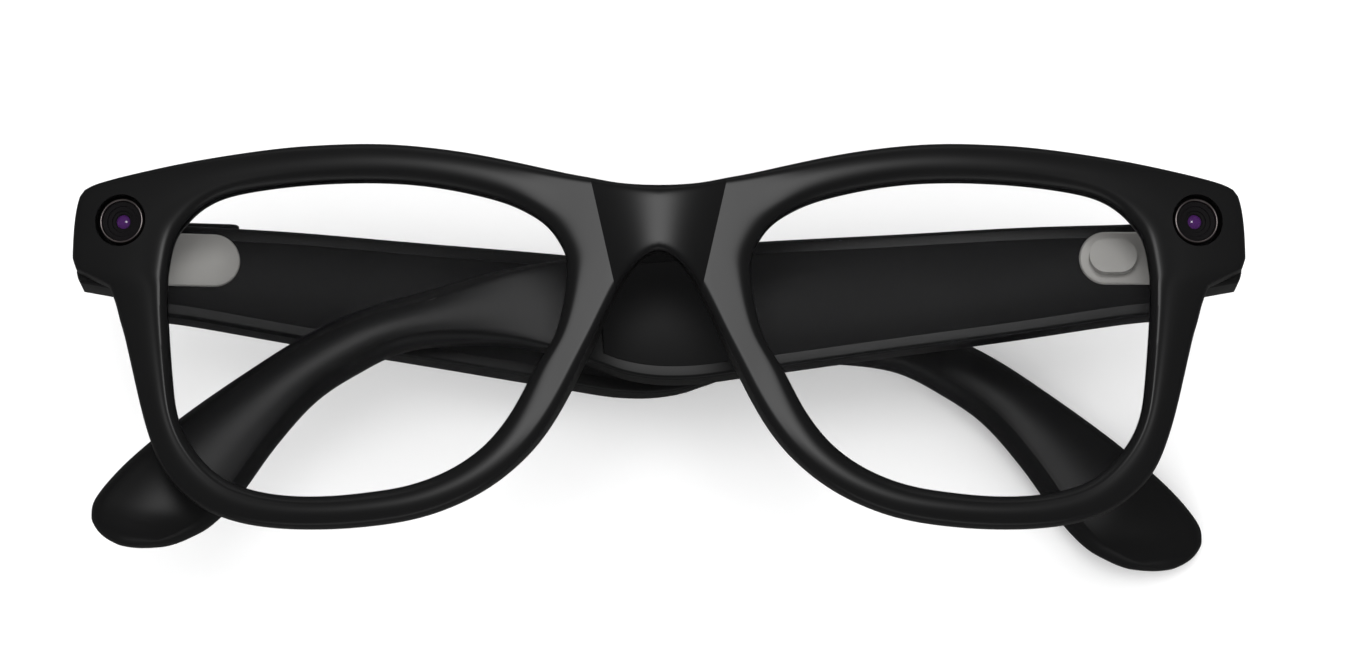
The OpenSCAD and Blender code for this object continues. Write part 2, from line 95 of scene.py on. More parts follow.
# Ports in the ends
PORT_R = 3.3
PORT_DEEP = 2.5
RING_R = 2.85
RING_LIP = 0.3
RING_SINK = 0.25
RING_BACK = 1.9

# Hinges, and the slope of the folded right temple in degrees
HINGE_BACK = 21
HINGE_Y = 13
HINGE_H = 6.4
KNUCKLE_R = 1.4
KNUCKLE_GAP = 0.4
FOLD_RIGHT = 9.5

# Temples: a bar with a channel in its inner face, closed by a cover
TEMPLE_T = 6.4
FACE_OUT = 0.5
WALL = 1.55
COVER_T = 1.0
FIT_GAP = 0.1
TEMPLE_R = 1.5
INNER_R = 0.55
CAVITY = (4, 75)
CHANNEL_D = 0.6
CROWN = 1.1
CROWN_GROWS = 35
TIP_AT = 138
TIP_BOW = 4

# Metal plates, power knob and capture button
PLATE_T = 0.5
PLATE_H = 6.8
PLATE_L = 13.8
KNOB_R = 2
KNOB_UP = 0.3
SLIDER_TRAVEL = 1.7
SLOT_FROM = PLATE_L - PLATE_H / 2 - SLIDER_TRAVEL
TRACK_D = 0.24
TRACK_GAP = 0.15
BUTTON_AT = 10
BUTTON_L = 8
BUTTON_W = 2.6
BUTTON_UP = 0.8
BUTTON_D = 2.2

# Places on the wearer's left half of the front, where X is above zero
SEAT_Z = -13.4
LENS_X = (BRIDGE_W + LENS_W) / 2
END_X = LENS_X + LENS_W / 2 + 12.2
PORT_X = LENS_X + LENS_W / 2 + 6
PORT_Y = 15.6
AXIS_X = END_X - TEMPLE_T - 0.2
CHEEK_X = AXIS_X + 0.3

# The CAD frame says where the front's own origin lies: the left hinge pin is a known piece
pin_low, pin_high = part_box("hinge_pin_left")
ORIGIN_Y = pin_low.y - (HINGE_Y - HINGE_H / 2) * MM
ORIGIN_Z = (pin_low.z + pin_high.z) / 2 + HINGE_BACK * MM

# Lens opening as shares of its half sizes, outline of the front from the lens centre, and
# how much further back the outer edge reaches. None lies on the middle line of the bridge.
EYE = [
    (0.99, 0.05, 30.4, 0.6, 0), (1, 0.25, 31.2, 3.2, 0), (1, 0.36, 32.6, 7.5, 0),
    (1, 0.43, 36.8, 9.7, 9), (0.993, 0.5, 37.3, 13.2, 9), (0.98, 0.6, 36.9, 17.8, 9),
    (0.955, 0.69, 35.9, 19.9, 9), (0.91, 0.765, 33.6, 20.8, 9), (0.83, 0.86, 29.4, 21.7, 0),
    (0.69, 0.94, 21.6, 23.1, 0), (0.42, 0.985, 11.6, 24.3, 0), (0.19, 1, 5.1, 24.6, 0),
    (-0.01, 1, -0.9, 24.6, 0), (-0.207, 0.985, -6.9, 24.1, 0), (-0.418, 0.945, -13.9, 23, 0),
    (-0.657, 0.87, -21.4, 21.3, 0), (-0.8, 0.79, -28.2, 19.8, 0), (-0.9, 0.7, None, 19.1, 0),
    (-0.965, 0.58, None, 15, 0), (-0.996, 0.47, None, 10.9, 0), (-0.99, 0.3, -33.2, 8.7, 0.6),
    (-0.965, 0.12, -31, 4.9, 2.4), (-0.92, -0.05, -29.1, 0.9, 4.2), (-0.83, -0.226, -27, -3.4, 5),
    (-0.733, -0.467, -24, -9.4, 4), (-0.598, -0.688, -20.4, -14.6, 2),
    (-0.422, -0.844, -14.9, -19.3, 0.5), (-0.219, -0.94, -7.9, -22.4, 0),
    (-0.008, -0.98, -0.8, -23.6, 0), (0.215, -1, 6.4, -23.9, 0), (0.462, -0.98, 13.8, -23.3, 0),
    (0.7, -0.885, 20.1, -21.2, 0), (0.86, -0.683, 24.9, -17, 0), (0.94, -0.48, 27.2, -12, 0),
    (0.968, -0.276, 28.7, -6.7, 0),
]

# Stations that the housings follow, the drop of their lower side, and points across the face
END_STATIONS = (3, 7)
END_DROP = 0.8
FACE_POINTS = 5

# Turns of the outline, and of the saddle's sides, past these degrees are kept crisp
CORNER_TURN = 17
CORNER_CREASE = 0.8
SADDLE_EDGE = 13

# Upper edge, lower edge and thickness share at stations along a temple
TEMPLE = [
    (2, 17.8, 2, 5.8, 1), (8, 17.5, 8, 5.3, 1), (21, 17.1, 22, 3.2, 1), (37, 16.2, 38, 1, 1),
    (54, 15.3, 55, -1.4, 1), (64, 14.5, 64, -2.5, 1), (72, 13.8, 71, -1.9, 1),
    (79.5, 12.9, 79, 0.9, 0.98), (87, 11.6, 86, 2.3, 0.94), (96, 9.2, 93, 2.3, 0.88),
    (104.8, 6.6, 99.5, 1.3, 0.84), (112, 3.2, 105, -1.4, 0.82), (119.4, -1.6, 110.5, -5.2, 0.82),
    (127.4, -7.4, 115.5, -11, 0.82), (134, -13, 120, -17.5, 0.8), (138, -17.6, 123.4, -21.2, 0.72),
    (138.7, -20.1, 126.4, -23, 0.58), (138.2, -21.6, 128.8, -23.9, 0.5),
    (137.1, -22.8, 130.6, -24.15, 0.4), (135.5, -23.7, 132.2, -24.2, 0.28),
    (134.4, -24.0, 133.2, -24.15, 0.18),
]


# ---------------------------------------------------------------- shared geometry helpers
def spline(rows, i, t, closed):
    """A point on the smooth curve through the rows, a share t past row i."""
    n = len(rows)
    pick = (lambda k: rows[k % n]) if closed else (lambda k: rows[min(max(k, 0), n - 1)])
    a, b, c, d = pick(i - 1), pick(i), pick(i + 1), pick(i + 2)
    return [
        0.5 * (2 * q + (r - p) * t + (2 * p - 5 * q + 4 * r - s) * t * t
               + (3 * q - p - 3 * r + s) * t ** 3)
        for p, q, r, s in zip(a, b, c, d)
    ]


def place(x, y, z):
    """A point of the front's own millimetre frame, in the row frame."""
    return Vector((x * MM, y * MM + ORIGIN_Y, z * MM + ORIGIN_Z))


def front_matrix():
    """From the front's own millimetre frame to the row frame."""
    return Matrix.Translation(place(0, 0, 0)) @ Matrix.Scale(MM, 4)


def temple_matrix(side):
    """From a temple's millimetre frame (along it, up, towards the head) to the row frame."""
    turn = Matrix.Rotation(math.radians(FOLD_RIGHT if side < 0 else 0), 4, "Y")
    flip = Matrix.Diagonal((-side, 1, 1, 1))
    base = place(side * AXIS_X, 0, -HINGE_BACK)
    return Matrix.Translation(base) @ turn @ flip @ Matrix.Scale(MM, 4)


def port_matrix(side):
    """Middle of a port on the front face, Z out along the face's normal."""
    turn = Matrix.Rotation(side * math.asin(PORT_X / WRAP_R), 4, "Y")
    base = place(side * PORT_X, PORT_Y, -wrap(PORT_X))
    return Matrix.Translation(base) @ turn @ Matrix.Scale(MM, 4)


def wrap(x):
    """How far the front's face has curved back at a distance from the middle."""
    return WRAP_R - math.sqrt(WRAP_R * WRAP_R - x * x)


def ease(value, low, high):
    """Smooth step from 0 at low to 1 at high."""
    t = max(0, min(1, (value - low) / (high - low)))
    return t * t * (3 - 2 * t)


def saddle_half(y):
    """Half the width of the bridge's saddle, which widens upwards."""
    return SADDLE_HALF + SADDLE_FLARE * (y - SADDLE_Y)


def back_sink(x):
    """How far the bridge's back lies behind the wrap."""
    return BACK_SINK * max(0, 1 - (x / SINK_HALF) ** 2)


def saddle_drop(x, y):
    """Depth of the saddle at a point of the bridge. It fades out downwards."""
    return SADDLE_D * ease(y, 1, 9) * max(0, 1 - (x / saddle_half(y)) ** 2)


def as_object(name, bm):
    """Turns a bmesh into an object in the scene."""
    mesh = bpy.data.meshes.new(name)
    bm.to_mesh(mesh)
    bm.free()
    made = bpy.data.objects.new(name, mesh)
    bpy.context.scene.collection.objects.link(made)
    return made


def shade(bm, sharp):
    """Smooth faces, with the edges past the sharp angle left crisp."""
    for face in bm.faces:
        face.smooth = True
    for edge in bm.edges:
        edge.smooth = len(edge.link_faces) == 2 and edge.calc_face_angle(0) < math.radians(sharp)


def finish_mesh(name, bm, body, material, replaces=(), sharp=40):
    """Turns a bmesh into a piece on a body, with crisp edges past the sharp angle."""
    bmesh.ops.remove_doubles(bm, verts=bm.verts, dist=1e-6)
    bmesh.ops.recalc_face_normals(bm, faces=bm.faces)
    shade(bm, sharp)
    piece = as_object(name, bm)
    piece.data.materials.append(material)
    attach(piece, body)
    if replaces:
        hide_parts(*replaces)
    return piece


def applied(piece, cutters=()):
    """Cuts the given bmeshes out of a piece, after any modifiers it has, and applies them all."""
    tools = []
    for bm in cutters:
        bmesh.ops.recalc_face_normals(bm, faces=bm.faces)
        tool = as_object("cutter", bm)
        cut = piece.modifiers.new("cut", "BOOLEAN")
        cut.object = tool
        cut.operation = "DIFFERENCE"
        cut.solver = "EXACT"
        tools.append(tool)
    graph = bpy.context.evaluated_depsgraph_get()
    mesh = bpy.data.meshes.new_from_object(piece.evaluated_get(graph))
    piece.modifiers.clear()
    piece.data = mesh
    for tool in tools:
        bpy.data.objects.remove(tool)


def mark_sharp(piece, sharp):
    """Shades a piece again after a cut, with crisp edges past the sharp angle."""
    bm = bmesh.new()
    bm.from_mesh(piece.data)
    shade(bm, sharp)
    bm.to_mesh(piece.data)
    bm.free()


def add_loop(bm, points):
    """A closed loop of vertices and edges."""
    verts = [bm.verts.new(p) for p in points]
    return [bm.edges.new((verts[i], verts[(i + 1) % len(verts)])) for i in range(len(verts))]


def loft(bm, loops, closed=False):
    """Bridges each loop to the next one, and caps the ends unless the last meets the first."""
    rings = [add_loop(bm, loop) for loop in loops]
    pairs = zip(rings, rings[1:] + rings[:1]) if closed else zip(rings, rings[1:])
    for a, b in pairs:
        bmesh.ops.bridge_loops(bm, edges=a + b)
    if not closed:
        for ring in (rings[0], rings[-1]):
            bmesh.ops.contextual_create(bm, geom=ring)


def turned(profile, segments=64):
    """A bmesh of a profile of (radius, height) points turned about Z."""
    bm = bmesh.new()
    verts = [bm.verts.new((r, 0, z)) for r, z in profile]
    edges = [bm.edges.new(pair) for pair in zip(verts, verts[1:])]
    bmesh.ops.spin(bm, geom=verts + edges, cent=(0, 0, 0), axis=(0, 0, 1), angle=math.tau,
                   steps=segments, use_merge=True)
    bmesh.ops.remove_doubles(bm, verts=bm.verts, dist=1e-4)
    return bm


def block(size, centre):
    """A bmesh of a box about a centre."""
    bm = bmesh.new()
    bmesh.ops.create_cube(bm, size=1)
    bmesh.ops.scale(bm, vec=size, verts=bm.verts)
    bmesh.ops.translate(bm, verts=bm.verts, vec=centre)
    return bm


def barrel(radius, length, segments):
    """A bmesh of a closed cylinder along Z, about its middle."""
    bm = bmesh.new()
    bmesh.ops.create_cone(bm, cap_ends=True, segments=segments, radius1=radius, radius2=radius,
                          depth=length)
    return bm


def round_rims(bm, radius, segments):
    """Rounds the edges round the two level faces of a shape."""
    rims = [e for e in bm.edges if abs(e.verts[0].co.z - e.verts[1].co.z) < 1e-6]
    bmesh.ops.bevel(bm, geom=rims, offset=radius, segments=segments, affect="EDGES",
                    profile=0.5, material=-1)


def plate_mesh(outline, z_from, z_to, bevel=0, segments=4):
    """An outline extruded from one height to another with rounded edges."""
    bm = bmesh.new()
    face = bm.faces.new([bm.verts.new((x, y, z_from)) for x, y in outline])
    grown = bmesh.ops.extrude_face_region(bm, geom=[face])
    top = [v for v in grown["geom"] if isinstance(v, bmesh.types.BMVert)]
    bmesh.ops.translate(bm, verts=top, vec=(0, 0, z_to - z_from))
    bmesh.ops.recalc_face_normals(bm, faces=bm.faces)
    if bevel:
        round_rims(bm, bevel, segments)
    return bm


def stadium(x_from, x_to, y, radius, segments=24):
    """Outline of a slot with round ends."""
    left = [(x_from - radius * math.sin(math.pi * i / segments),
             y + radius * math.cos(math.pi * i / segments)) for i in range(segments + 1)]
    right = [(x_to + radius * math.sin(math.pi * i / segments),
              y - radius * math.cos(math.pi * i / segments)) for i in range(segments + 1)]
    return left + right


def moved(bm, matrix):
    """A bmesh carried through a matrix."""
    bmesh.ops.transform(bm, matrix=matrix, verts=bm.verts)
    return bm


def on_side(bm, side):
    """A bmesh made for the wearer's left, mirrored over the middle when the side is right."""
    if side < 0:
        bmesh.ops.scale(bm, vec=(-1, 1, 1), verts=bm.verts)
    return bm


# ---------------------------------------------------------------- materials
def new_group(name, inputs, outputs):
    """An empty shader node group with named sockets."""
    tree = bpy.data.node_groups.new(name, "ShaderNodeTree")
    for label, kind, default in inputs:
        socket = tree.interface.new_socket(label, in_out="INPUT", socket_type=kind)
        socket.default_value = default
    for label, kind in outputs:
        tree.interface.new_socket(label, in_out="OUTPUT", socket_type=kind)
    return tree, tree.nodes.new("NodeGroupInput"), tree.nodes.new("NodeGroupOutput")


def noise(tree, scale, detail=2):
    """A noise texture in a piece's own space."""
    where = tree.nodes.new("ShaderNodeTexCoord")
    texture = tree.nodes.new("ShaderNodeTexNoise")
    texture.inputs["Scale"].default_value = scale
    texture.inputs["Detail"].default_value = detail
    tree.links.new(where.outputs["Object"], texture.inputs["Vector"])
    return texture


def spread(tree, value, low, high):
    """Maps a value that runs from 0 to 1 onto low to high."""
    onto = tree.nodes.new("ShaderNodeMapRange")
    onto.inputs["To Min"].default_value = low
    onto.inputs["To Max"].default_value = high
    tree.links.new(value, onto.inputs["Value"])
    return onto.outputs["Result"]


def moulded_surface():
    """Fine mould texture: a height, and a colour and roughness that drift over the part."""
    tree, given, out = new_group(
        "moulded surface",
        [("Grain scale", "NodeSocketFloat", 6000.0), ("Roughness low", "NodeSocketFloat", 0.3),
         ("Roughness high", "NodeSocketFloat", 0.4), ("Dark", "NodeSocketColor", (0.01, 0.01, 0.01, 1)),
         ("Light", "NodeSocketColor", (0.02, 0.02, 0.02, 1))],
        [("Color", "NodeSocketColor"), ("Roughness", "NodeSocketFloat"), ("Height", "NodeSocketFloat")])
    link = tree.links.new
    grain = noise(tree, 6000)
    link(given.outputs["Grain scale"], grain.inputs["Scale"])
    drift = noise(tree, 60, 4)
    rough = tree.nodes.new("ShaderNodeMapRange")
    link(drift.outputs["Fac"], rough.inputs["Value"])
    link(given.outputs["Roughness low"], rough.inputs["To Min"])
    link(given.outputs["Roughness high"], rough.inputs["To Max"])
    tint = tree.nodes.new("ShaderNodeMix")
    tint.data_type = "RGBA"
    link(drift.outputs["Fac"], tint.inputs["Factor"])
    link(given.outputs["Dark"], tint.inputs["A"])
    link(given.outputs["Light"], tint.inputs["B"])
    link(tint.outputs["Result"], out.inputs["Color"])
    link(rough.outputs["Result"], out.inputs["Roughness"])
    link(grain.outputs["Fac"], out.inputs["Height"])
    return tree


SURFACE = moulded_surface()


def new_material(name):
    """An empty material, its node tree and its shader."""
    material = bpy.data.materials.new(name)
    material.use_nodes = True
    return material, material.node_tree, material.node_tree.nodes["Principled BSDF"]


def surfaced(name, dark, light, rough, grain=9000.0, bump=0.008, metallic=0.0, coat=0.0, shine=0.5):
    """A material on the shared surface group, with its own colours, roughness and grain."""
    material, tree, shader = new_material(name)
    link = tree.links.new
    group = tree.nodes.new("ShaderNodeGroup")
    group.node_tree = SURFACE
    group.inputs["Grain scale"].default_value = grain
    group.inputs["Roughness low"].default_value = rough[0]
    group.inputs["Roughness high"].default_value = rough[1]
    group.inputs["Dark"].default_value = (*dark, 1)
    group.inputs["Light"].default_value = (*light, 1)
    relief = tree.nodes.new("ShaderNodeBump")
    relief.inputs["Strength"].default_value = bump
    relief.inputs["Distance"].default_value = 0.0002
    link(group.outputs["Color"], shader.inputs["Base Color"])
    link(group.outputs["Roughness"], shader.inputs["Roughness"])
    link(group.outputs["Height"], relief.inputs["Height"])
    link(relief.outputs["Normal"], shader.inputs["Normal"])
    shader.inputs["Metallic"].default_value = metallic
    shader.inputs["Specular IOR Level"].default_value = shine
    shader.inputs["Coat Weight"].default_value = coat
    shader.inputs["Coat Roughness"].default_value = 0.1
    return material


def clear_material(name, centre, edge):
    """A coated clear lens: nearly nothing face on, and a sheen where it is seen aslant."""
    material, tree, shader = new_material(name)
    link = tree.links.new
    shader.inputs["Base Color"].default_value = (0.01, 0.01, 0.012, 1)
    shader.inputs["Specular IOR Level"].default_value = 0.05
    smear = noise(tree, 90)
    link(spread(tree, smear.outputs["Fac"], 0.02, 0.05), shader.inputs["Roughness"])
    facing = tree.nodes.new("ShaderNodeLayerWeight")
    facing.inputs["Blend"].default_value = 0.35
    link(spread(tree, facing.outputs["Facing"], centre, edge), shader.inputs["Alpha"])
    return material


BLACK_RANGE = (0.0038, 0.0038, 0.004), (0.0055, 0.0055, 0.0058)
BLACK = surfaced("black satin frame", *BLACK_RANGE, (0.31, 0.35))
TEMPLE_BLACK = surfaced("black satin temple", *BLACK_RANGE, (0.34, 0.39), shine=0.32)
COVER = surfaced("black temple cover", (0.005, 0.005, 0.0053), (0.007, 0.007, 0.0074), (0.44, 0.50),
                 shine=0.2)
NICKEL = surfaced("satin nickel", (0.36, 0.355, 0.34), (0.42, 0.41, 0.395), (0.42, 0.50), grain=2500.0,
                  bump=0.03, metallic=0.55)
RING = surfaced("polished ring", (0.42, 0.37, 0.365), (0.52, 0.46, 0.45), (0.3, 0.36), metallic=1)
STEEL = surfaced("pin steel", (0.5, 0.5, 0.5), (0.6, 0.6, 0.6), (0.2, 0.28), metallic=1)
MODULE = surfaced("module black", (0.006, 0.006, 0.008), (0.012, 0.012, 0.016), (0.12, 0.2), coat=0.5)
BAFFLE = surfaced("camera baffle", (0.003, 0.0025, 0.003), (0.006, 0.005, 0.006), (0.3, 0.42), shine=0.25)
COATED = surfaced("coated lens element", (0.03, 0.006, 0.05), (0.055, 0.012, 0.1), (0.06, 0.1), coat=1)
BOARD = surfaced("circuit board", (0.01, 0.05, 0.02), (0.02, 0.08, 0.03), (0.35, 0.5), grain=1500.0)
GOLD = surfaced("gold contact", (0.8, 0.58, 0.22), (0.9, 0.68, 0.3), (0.2, 0.3), metallic=1)
FOIL = surfaced("cell foil", (0.45, 0.46, 0.48), (0.6, 0.61, 0.63), (0.3, 0.4), grain=1200.0, metallic=1)
FROST = surfaced("frosted light guide", (0.5, 0.5, 0.52), (0.7, 0.7, 0.72), (0.3, 0.45))
GRAPHITE = surfaced("dark glass", (0.004, 0.004, 0.006), (0.008, 0.007, 0.011), (0.03, 0.06), coat=1)
CLEAR = clear_material("clear lens", 0.025, 0.5)

SLOT_MATERIAL = {
    "black_frame": BLACK, "black_cover": COVER, "satin_nickel": NICKEL, "clear_lens": CLEAR,
    "dark_glass": GRAPHITE, "module_black": MODULE, "light_guide": FROST, "circuit_board": BOARD,
    "gold_contact": GOLD, "cell_foil": FOIL, "pin_steel": STEEL,
}

# Each CAD piece gets the finish that the record names, and shows it unless it is replaced
for part in frame["record"]["subparts"]:
    node = frame["nodes"][part["node"]]
    for slot in node.material_slots:
        slot.material = SLOT_MATERIAL[part["material_slot"]]
    if not node.material_slots:
        node.data.materials.append(SLOT_MATERIAL[part["material_slot"]])


# ---------------------------------------------------------------- front
def eye_stations(steps):
    """Stations round the left eye: lens point, outline point, reach back, on the middle line."""
    rows = [(LENS_X + u * LENS_W / 2, v * LENS_H / 2, 0 if x is None else LENS_X + x, y, back)
            for u, v, x, y, back in EYE]
    middle = [row[2] is None for row in EYE]
    n = len(rows)
    found = []
    for i in range(n):
        for k in range(steps):
            c = spline(rows, i, k / steps, True)
            near, far = middle[i], middle[(i + 1) % n]
            on_line = near and (k == 0 or far)
            inner = near and (far if k else middle[i - 1] and far)
            if k and near != far:  # level where the two halves of the front meet
                a, b = (rows[i], rows[(i + 1) % n]) if near else (rows[(i + 1) % n], rows[i])
                t = k / steps if near else 1 - k / steps
                c = (c[0], c[1], b[2] * t, a[3] + (b[3] - a[3]) * t * t, c[4])
            found.append((Vector((c[0], c[1])), Vector((0 if on_line else max(c[2], 0), c[3])),
                          max(c[4], 0), inner))
    return found


def rim_section(lens, outer, reach, inner_line):
    """One section through the rim, from the outer edge over the front face and back."""
    away = (outer - lens).normalized()
    wide = (outer - lens).length
    on_middle = outer.x == 0
    square = Vector((0, math.copysign(1, outer.y - BRIDGE_Y))) if on_middle else away
    front_r, back_r = (0, 0) if inner_line else (EDGE_R, BACK_R)
    inset = outer - away * min(7, wide * 0.6)
    shelf, ledge = outer - square * front_r, lens + away * RIM_BEVEL
    z_face, z_lens = -wrap(shelf.x), -wrap(lens.x)
    z_groove = z_lens - RIM_T * GROOVE_SHARE
    z_back = z_face - back_sink(outer.x) - RIM_T - max(min(reach, z_face - RIM_T - SEAT_Z), 0)
    deep_end = reach > 6
    z_inset = z_back if deep_end else -wrap(inset.x) - back_sink(inset.x) - RIM_T
    section = [
        (outer, z_back + back_r), (outer, z_face - front_r),
        (outer - square * front_r * 0.3, z_face - front_r * 0.3), (shelf, z_face)]
    for k in range(1, FACE_POINTS + 1):
        t = k / (FACE_POINTS + 1)
        p = shelf + (ledge - shelf) * t
        crown = RIM_CROWN * ease(abs(p.x), CROWN_FROM, CROWN_FULL) * 4 * t * (1 - t)
        section.append((p, crown - wrap(p.x)))
    section += [
        (ledge, z_lens), (lens, z_lens - RIM_BEVEL * 0.8), (lens, z_groove + GROOVE_W / 2),
        (lens + away * GROOVE_D, z_groove), (lens, z_groove - GROOVE_W / 2),
        (lens, z_lens - RIM_T + 0.4), (lens + away * 0.5, z_lens - RIM_T), (inset, z_inset),
        (outer - square * back_r, z_back),
    ]
    return [place(p.x, p.y, z) for p, z in section]


def corner_key(point):
    """Names a point in the same way on both halves of the front."""
    return tuple(round(abs(c), 6) for c in point)


def outline_corners(stations):
    """The outer points of the sections at the outline's sharp turns, one set for each turn."""
    found = []
    for i, (lens, outer, reach, inner_line) in enumerate(stations):
        before, after = stations[i - 1][1], stations[(i + 1) % len(stations)][1]
        if outer.x > PORT_X and (outer - before).length and (after - outer).length:
            if abs((outer - before).angle_signed(after - outer)) > math.radians(CORNER_TURN):
                points = rim_section(lens, outer, reach, inner_line)
                found.append({corner_key(p) for p in points[:4] + points[-1:]})
    return found


def press_saddle(piece):
    """Presses the saddle into the bridge, with a crisp line down each side."""
    bm = bmesh.new()
    bm.from_mesh(piece.data)

    def from_lenses(co):
        return co.x * MM_IN_METRE, (co.y - ORIGIN_Y) * MM_IN_METRE

    for side in (-1, 1):
        faces = []
        for f in bm.faces:
            x, y = from_lenses(f.calc_center_median())
            if f.normal.z > 0.3 and 2 < side * x < BRIDGE_HALF and y > 0:
                faces.append(f)
        geom = set(faces) | {e for f in faces for e in f.edges} | {v for f in faces for v in f.verts}
        bmesh.ops.bisect_plane(bm, geom=list(geom), dist=1e-7,
                               plane_co=place(side * SADDLE_HALF, SADDLE_Y, 0),
                               plane_no=(side, -SADDLE_FLARE, 0))
    for v in bm.verts:
        x, y = from_lenses(v.co)
        if abs(x) < BRIDGE_HALF and y > 0:
            depth = (v.co.z - ORIGIN_Z) * MM_IN_METRE + wrap(x)
            v.co.z -= saddle_drop(x, y) * ease(depth, -RIM_T * 0.6, -EDGE_R) / MM_IN_METRE
        v.co.z = min(v.co.z, cad_box[1][2])
    bm.to_mesh(piece.data)
    bm.free()


def front():
    """Both rims, the bridge and the ends in one moulding: half is lofted round an eye and mirrored."""
    bm = bmesh.new()
    stations = eye_stations(2)
    loft(bm, [rim_section(*s) for s in stations], closed=True)
    bmesh.ops.remove_doubles(bm, verts=bm.verts, dist=2e-6)
    on_middle = [f for f in bm.faces if all(abs(v.co.x) < 1e-7 for v in f.verts)]
    bmesh.ops.delete(bm, geom=on_middle, context="FACES")
    half = bm.verts[:] + bm.edges[:] + bm.faces[:]
    bmesh.ops.mirror(bm, geom=half, axis="X", merge_dist=2e-6)
    crease = bm.edges.layers.float.new("crease_edge")
    for corner in outline_corners(stations):
        for edge in bm.edges:
            if all(corner_key(v.co) in corner for v in edge.verts):
                edge[crease] = CORNER_CREASE
    piece = finish_mesh("front", bm, "front", BLACK, ["front_frame"], sharp=180)
    smooth = piece.modifiers.new("smooth", "SUBSURF")
    smooth.levels = smooth.render_levels = 2
    applied(piece)
    press_saddle(piece)
    applied(piece, [moved(barrel(PORT_R, 2 * PORT_DEEP, 96), port_matrix(side)) for side in (-1, 1)])
    mark_sharp(piece, SADDLE_EDGE)


front()


# ---------------------------------------------------------------- lenses
def lens_loops(steps, rings):
    """Loops of a lens from the middle of its front, over its edge, to the middle of its back."""
    stations = eye_stations(steps)
    edge = []
    for lens, outer, _, _ in stations:
        away = (outer - lens).normalized()
        edge.append((lens - away * LENS_GAP, away, -wrap(lens.x) - RIM_T * GROOVE_SHARE))
    centre = Vector((LENS_X, 0))
    top = -wrap(LENS_X) - RIM_T * GROOVE_SHARE + LENS_DOME

    def ring(share, up):
        loop = []
        for p, _, z in edge:
            q = centre + (p - centre) * share
            loop.append(place(q.x, q.y, z * share * share + top * (1 - share * share) + up * LENS_T / 2))
        return loop

    shares = [i / rings for i in range(1, rings + 1)]
    bead = [place(*(p + away * (GROOVE_D - LENS_GAP)), z) for p, away, z in edge]
    return [ring(s, 1) for s in shares] + [bead] + [ring(s, -1) for s in reversed(shares)]


def lens(side, name, node):
    """A domed lens with a bead round it that sits in the rim's groove."""
    bm = bmesh.new()
    loft(bm, lens_loops(3, 8))
    finish_mesh(name, on_side(bm, side), "front", CLEAR, [node], sharp=30)


lens(-1, "right_lens", "lens_right")
lens(1, "left_lens", "lens_left")


# ---------------------------------------------------------------- housings behind the ends
def end_housing(side, name, node):
    """The box behind an end of the front, notched for the hinge's knuckle."""
    rows = [(LENS_X + x, y - (END_DROP if y < HINGE_Y - 1 else 0))
            for _, _, x, y, _ in EYE[END_STATIONS[0] - 1:END_STATIONS[1] + 2]]
    inside, under = 0.25, 0.2
    outline = [(CHEEK_X, rows[1][1] - 1.2)]
    for i in range(1, len(rows) - 2):
        for k in range(6):
            x, y = spline(rows, i, k / 6, False)
            outline.append((min(x, END_X) - inside, y - under))
    outline.append((rows[-2][0] - inside, rows[-2][1] - under))
    outline.append((CHEEK_X, outline[-1][1] - under))
    bm = plate_mesh(outline, -HINGE_BACK, SEAT_Z - FIT_GAP, 0.5)
    bm = moved(on_side(bm, side), front_matrix())
    piece = finish_mesh(name, bm, "front", BLACK, [node], sharp=30)
    # The notch runs from inside the cheek to just past the knuckle, and through from edge to edge
    notch = block((KNUCKLE_R + 2.1, 30, 2 * (KNUCKLE_R + KNUCKLE_GAP)),
                  (CHEEK_X - 1 + (KNUCKLE_R + 0.1) / 2, HINGE_Y, -HINGE_BACK))
    applied(piece, [moved(on_side(notch, side), front_matrix())])
    mark_sharp(piece, 30)


end_housing(1, "camera_end_housing", "camera_housing")
end_housing(-1, "light_end_housing", "light_housing")


# ---------------------------------------------------------------- camera and light ports
def port(side, names, nodes):
    """A port's bright ring, the steps of the black funnel inside it and the glass at its bottom."""
    matrix = port_matrix(side)
    lip = RING_R - RING_LIP
    ring = turned([(lip, -RING_BACK), (RING_R, -RING_BACK), (RING_R, -RING_SINK - 0.16),
                   (RING_R - 0.05, -RING_SINK - 0.05), (RING_R - 0.14, -RING_SINK),
                   (lip + 0.1, -RING_SINK), (lip + 0.03, -RING_SINK - 0.05), (lip, -RING_SINK - 0.14),
                   (lip, -RING_BACK)], 96)
    finish_mesh(names[0], moved(ring, matrix), "front", RING, [nodes[0]])
    steps = turned([(0.001, -1.45), (0.62, -1.45), (0.66, -1.3), (0.95, -1.28), (1.0, -1.12),
                    (1.35, -1.1), (1.4, -0.92), (1.9, -0.9), (1.96, -0.74), (lip - 0.06, -0.72),
                    (lip - 0.06, -RING_BACK), (0.001, -RING_BACK)], 96)
    finish_mesh(names[1], moved(steps, matrix), "front", BAFFLE)
    dome = turned([(0.001, -0.98), (0.25, -1.0), (0.5, -1.06), (0.72, -1.16), (0.9, -1.3), (0.9, -1.42),
                   (0.001, -1.42)], 64)
    finish_mesh(names[2], moved(dome, matrix), "front", COATED, [nodes[1]])


port(1, ("camera_bezel", "camera_baffle", "camera_element"), ("camera_ring", "camera_glass"))
port(-1, ("light_bezel", "light_baffle", "light_element"), ("light_ring", "light_window"))


# ---------------------------------------------------------------- temples
def temple_rows(steps):
    """The temple's stations, with finer ones on a smooth curve between them."""
    rows = []
    for i in range(len(TEMPLE) - 1):
        rows += [spline(TEMPLE, i, k / steps, False) for k in range(steps)]
    return rows + [list(TEMPLE[-1])]


